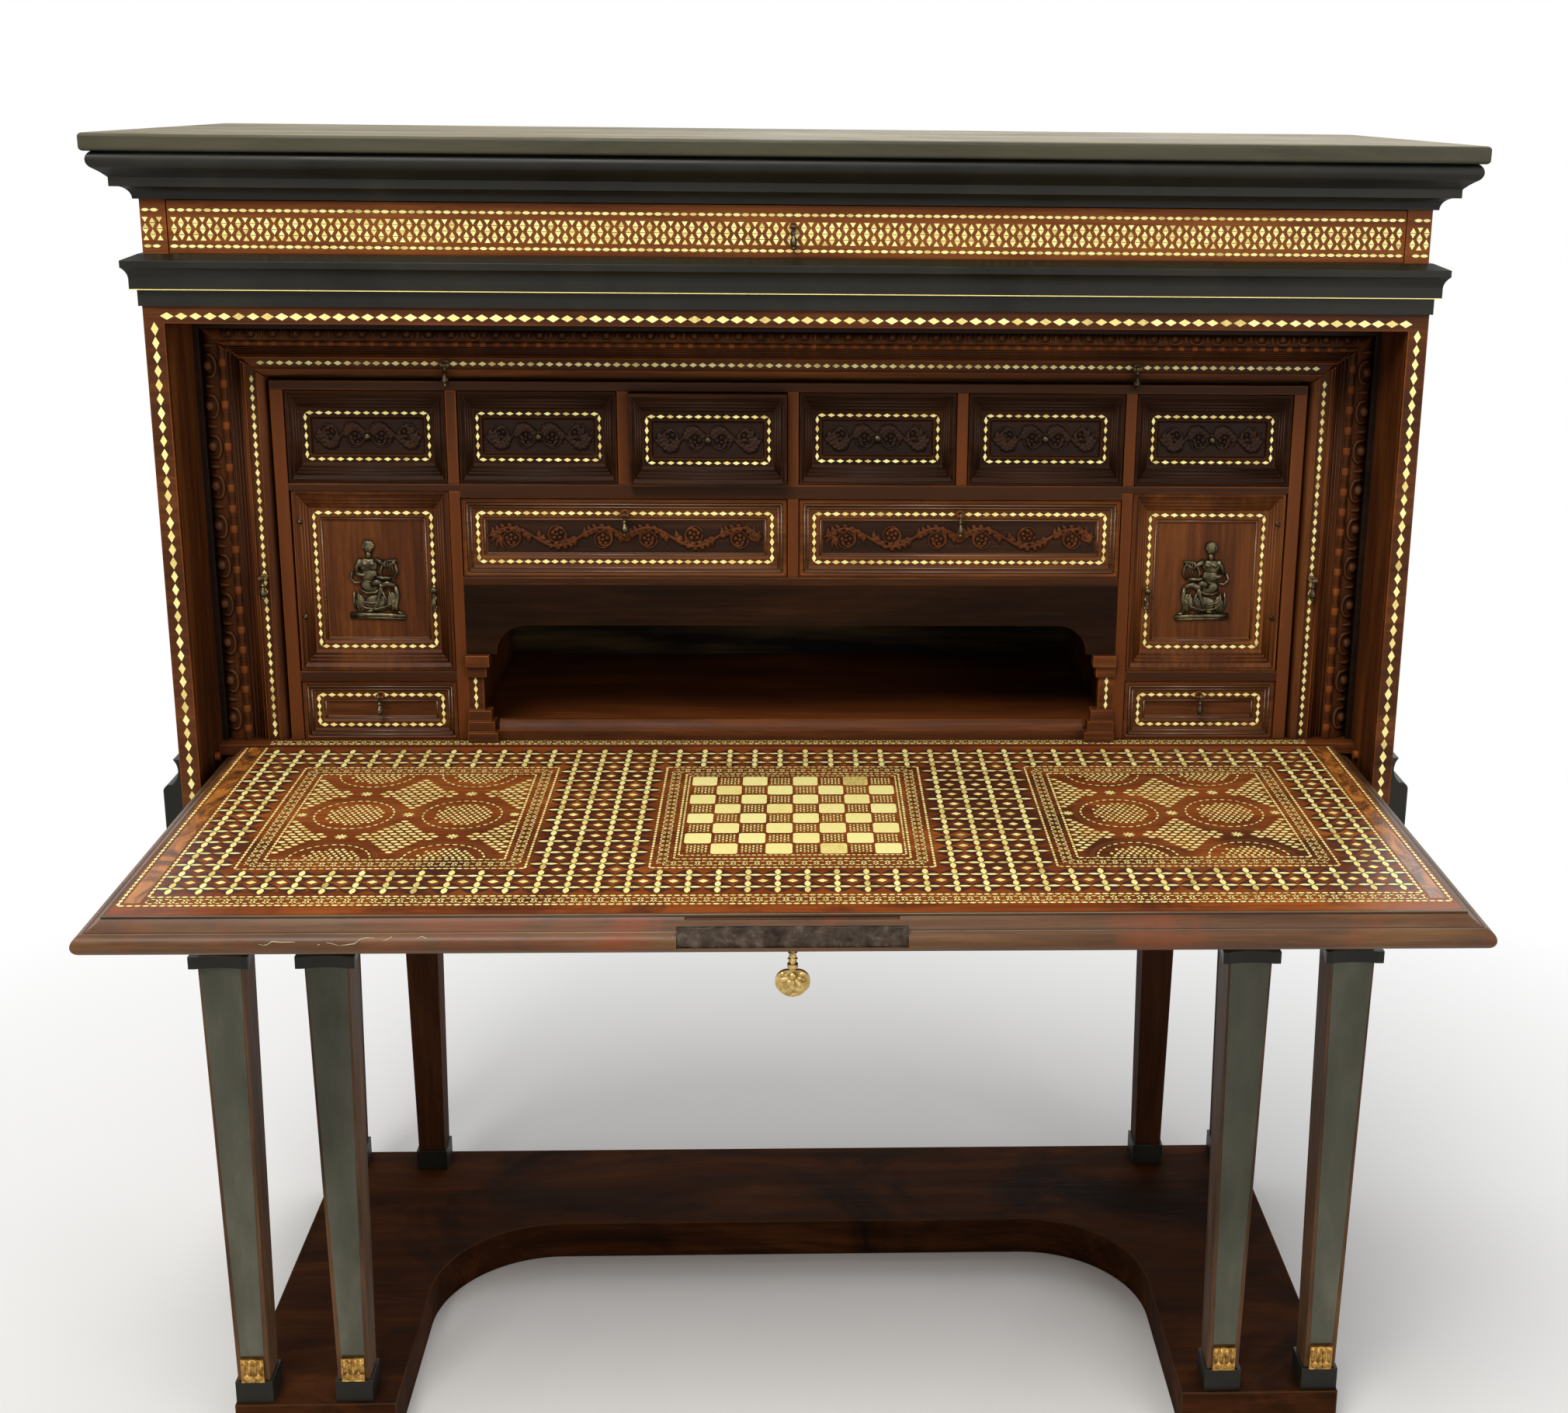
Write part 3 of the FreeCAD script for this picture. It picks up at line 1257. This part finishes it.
def make_doors():
    """The two cupboard doors on pins, with a cast figure mount and a fixed pull."""
    z = (LOW_SHELF + s.sliding_gap, SHELF_BOTTOM - s.sliding_gap)
    for side, tag in ((-1, "left"), (1, "right")):
        x = mirrored(side, SIDE_CELL_INNER + s.fit_gap, BLOCK_INNER - s.door_hinge_gap)
        name = "door_" + tag
        front = framed_front(name, x, FRONT_PLANE, z, s.door_thickness,
                             (s.door_side_slope, s.door_head_slope), s.reeded_slope_depth,
                             s.panel_bevel, REEDED_STEP_SHARES)
        pin_x, pin_y = door_axis(side)
        reach = s.door_pin_reach
        pins = [
            cylinder(name + "_pin_low", s.door_pin_radius, reach, (pin_x, pin_y, z[0] - reach), (0, 0, 1)),
            cylinder(name + "_pin_high", s.door_pin_radius, reach, (pin_x, pin_y, z[1]), (0, 0, 1)),
        ]
        ground = FRONT_PLANE + s.reeded_slope_depth + s.panel_bevel_depth
        middle_x = (x[0] + x[1]) / 2
        middle_z = (z[0] + z[1]) / 2
        figure_low = middle_z - s.mount_figure_height / 2
        mount = figure_mount(name, middle_x, ground, figure_low)
        pull_x = (SIDE_CELL_INNER + s.fit_gap + s.front_edge + s.door_side_slope + s.string_band / 2) * side
        pull_z = z[0] + (z[1] - z[0]) * DOOR_PULL_SHARE
        knob = fixed_knob(name, (pull_x, FRONT_PLANE + s.reeded_slope_depth, pull_z))
        node(group(name, [fused(name + "_leaf", [front] + pins), knob]), name)
        node(mount, name + "_mount")


def figure_mount(name, x, ground, low):
    """A flat cast relief of a seated figure on a small base: only its outline mass."""
    depth = s.mount_figure_depth
    width = s.mount_figure_width
    height = s.mount_figure_height
    front = ground - depth
    base = block(name + "_mount_base", centred(x, width), (front, ground), (low, low + s.mount_base_height))
    points = []
    for item in FIGURE_SHARES:
        mark = item[0] == "through"
        out, up = (item[1], item[2]) if mark else item
        place = vector(x + width * out, front, low + height * up)
        points.append(("through", place) if mark else place)
    body = prism(name + "_mount_body", points, (0, 1, 0), depth)
    return fused(name + "_mount", [base, body])


def frame_section(name, width, place, direction, length):
    """A moulded board: round inner edge, string groove, hollow, astragal and ovolo to the outer edge."""
    nose = s.frame_edge_bevel
    bow = nose * (1 - math.sqrt(0.5))
    groove = nose + s.frame_groove_width
    rest = width - groove
    relief = rest * FRAME_RELIEF_SHARE
    back = s.frame_front_thickness
    points = [
        place(ZERO, back),
        place(ZERO, nose),
        ("through", place(bow, bow)),
        place(nose, ZERO),
        place(nose, s.frame_groove_depth),
        place(groove, s.frame_groove_depth),
        place(groove, ZERO),
    ]
    for item in FRAME_SECTION_SHARES:
        mark = item[0] == "through"
        out, down = (item[1], item[2]) if mark else item
        point = place(groove + rest * out, relief * down)
        points.append(("through", point) if mark else point)
    points.append(place(width, back))
    return prism(name, points, direction, length)


def make_frame_boxes():
    """The mitred three-sided frame of pull-out boxes round the inner block."""
    top = CARCASE_ROOF - s.fit_gap
    low = top - s.frame_board_height
    floor = CARCASE_FLOOR + s.sliding_gap
    front = CARCASE_FRONT
    back = front + s.frame_front_thickness
    gap = s.mitre_gap
    # Top box
    board = [
        vector(-FRAME_OUTER + gap, front, top),
        vector(-FRAME_INNER + gap, front, low),
        vector(FRAME_INNER - gap, front, low),
        vector(FRAME_OUTER - gap, front, top),
    ]
    slab = prism("top_box_slab", board, (0, 1, 0), s.frame_front_thickness)

    def top_place(across, behind):
        return vector(-FRAME_OUTER, front + behind, low + across)

    section = frame_section("top_box_section", s.frame_board_height, top_place, (1, 0, 0), FRAME_OUTER * 2)
    node(common("top_box_front", slab, section), "top_box_front")
    pulls = []
    pull_z = low + s.frame_edge_bevel + s.frame_groove_width / 2
    for side, tag in ((-1, "left"), (1, "right")):
        x = FRAME_INNER * TOP_PULL_SHARE * side
        pulls.append(staple("top_box_" + tag, x, front, pull_z, front + s.frame_groove_depth))
        drop_pull("top_box_" + tag, x, front, pull_z)
    tray_x = (-BLOCK_HALF + s.fit_gap, BLOCK_HALF - s.fit_gap)
    box = tray("top_box", tray_x, (back, TRAY_END), (TOP_SHELF + s.sliding_gap, top - s.tray_top_gap))
    node(group("top_box_tray", [box] + pulls), "top_box_tray")
    # Side boxes
    for side, tag in ((-1, "left"), (1, "right")):
        points = [
            vector(FRAME_OUTER * side, front, floor),
            vector(FRAME_OUTER * side, front, top - gap),
            vector(FRAME_INNER * side, front, low - gap),
            vector(FRAME_INNER * side, front, floor),
        ]
        name = tag + "_box"
        slab = prism(name + "_slab", points, (0, 1, 0), s.frame_front_thickness)

        def side_place(across, behind):
            return vector((FRAME_INNER + across) * side, front + behind, floor)

        section = frame_section(name + "_section", s.frame_board_width, side_place, (0, 0, 1), top - floor)
        node(common(name + "_front", slab, section), name + "_front")
        pull_x = (FRAME_INNER + s.frame_edge_bevel + s.frame_groove_width / 2) * side
        pull_z = floor + (low - floor) * SIDE_PULL_SHARE
        seat = staple(name, pull_x, front, pull_z, front + s.frame_groove_depth)
        drop_pull(name, pull_x, front, pull_z)
        body = tray(name, mirrored(side, FRAME_INNER, FRAME_OUTER), (back, TRAY_END),
                    (floor, low - s.tray_top_gap))
        node(group(name + "_tray", [body, seat]), name + "_tray")


def make_frieze_drawer():
    """The wide shallow drawer behind the inlaid frieze."""
    half = FRIEZE_DRAWER_HALF - s.fit_gap
    front = s.frieze_inset
    z = (FRIEZE_BOTTOM + s.sliding_gap, FRIEZE_TOP - s.fit_gap)
    slab = block("frieze_drawer_slab", (-half, half), (front, front + s.front_thickness), z)
    inside = half - s.tray_wall
    box = tray("frieze_drawer", (-inside, inside), (front + s.front_thickness, FRIEZE_TRAY_END),
               (z[0], z[1] - s.tray_top_gap))
    pull_z = (z[0] + z[1]) / 2 + s.pull_drop_length / 4
    seat = staple("frieze_drawer", ZERO, front, pull_z, front)
    drop_pull("frieze_drawer", ZERO, front, pull_z)
    node(group("frieze_drawer", [slab, box, seat]), "frieze_drawer")


make_platform()
make_columns()
make_stand_frame()
make_case_bottom()
make_case_sides()
make_case_shell()
make_mouldings()
make_frieze()
make_carcase()
make_niche()
make_lopers()
make_leaf()
make_key()
make_drawers()
make_doors()
make_frame_boxes()
make_frieze_drawer()
doc.recompute()

for item in doc.Objects:
    if "Invalid" in item.State or "Error" in item.State:
        raise RuntimeError("%s did not build: %s" % (item.Label, item.State))
for piece in NODES:
    if piece.Shape.isNull() or not piece.Shape.isValid():
        raise RuntimeError("%s has no valid shape" % piece.Label)
for piece in NODES:
    piece.Shape.exportStep("parts/%s.step" % piece.Label)
print("%d nodes" % len(NODES))
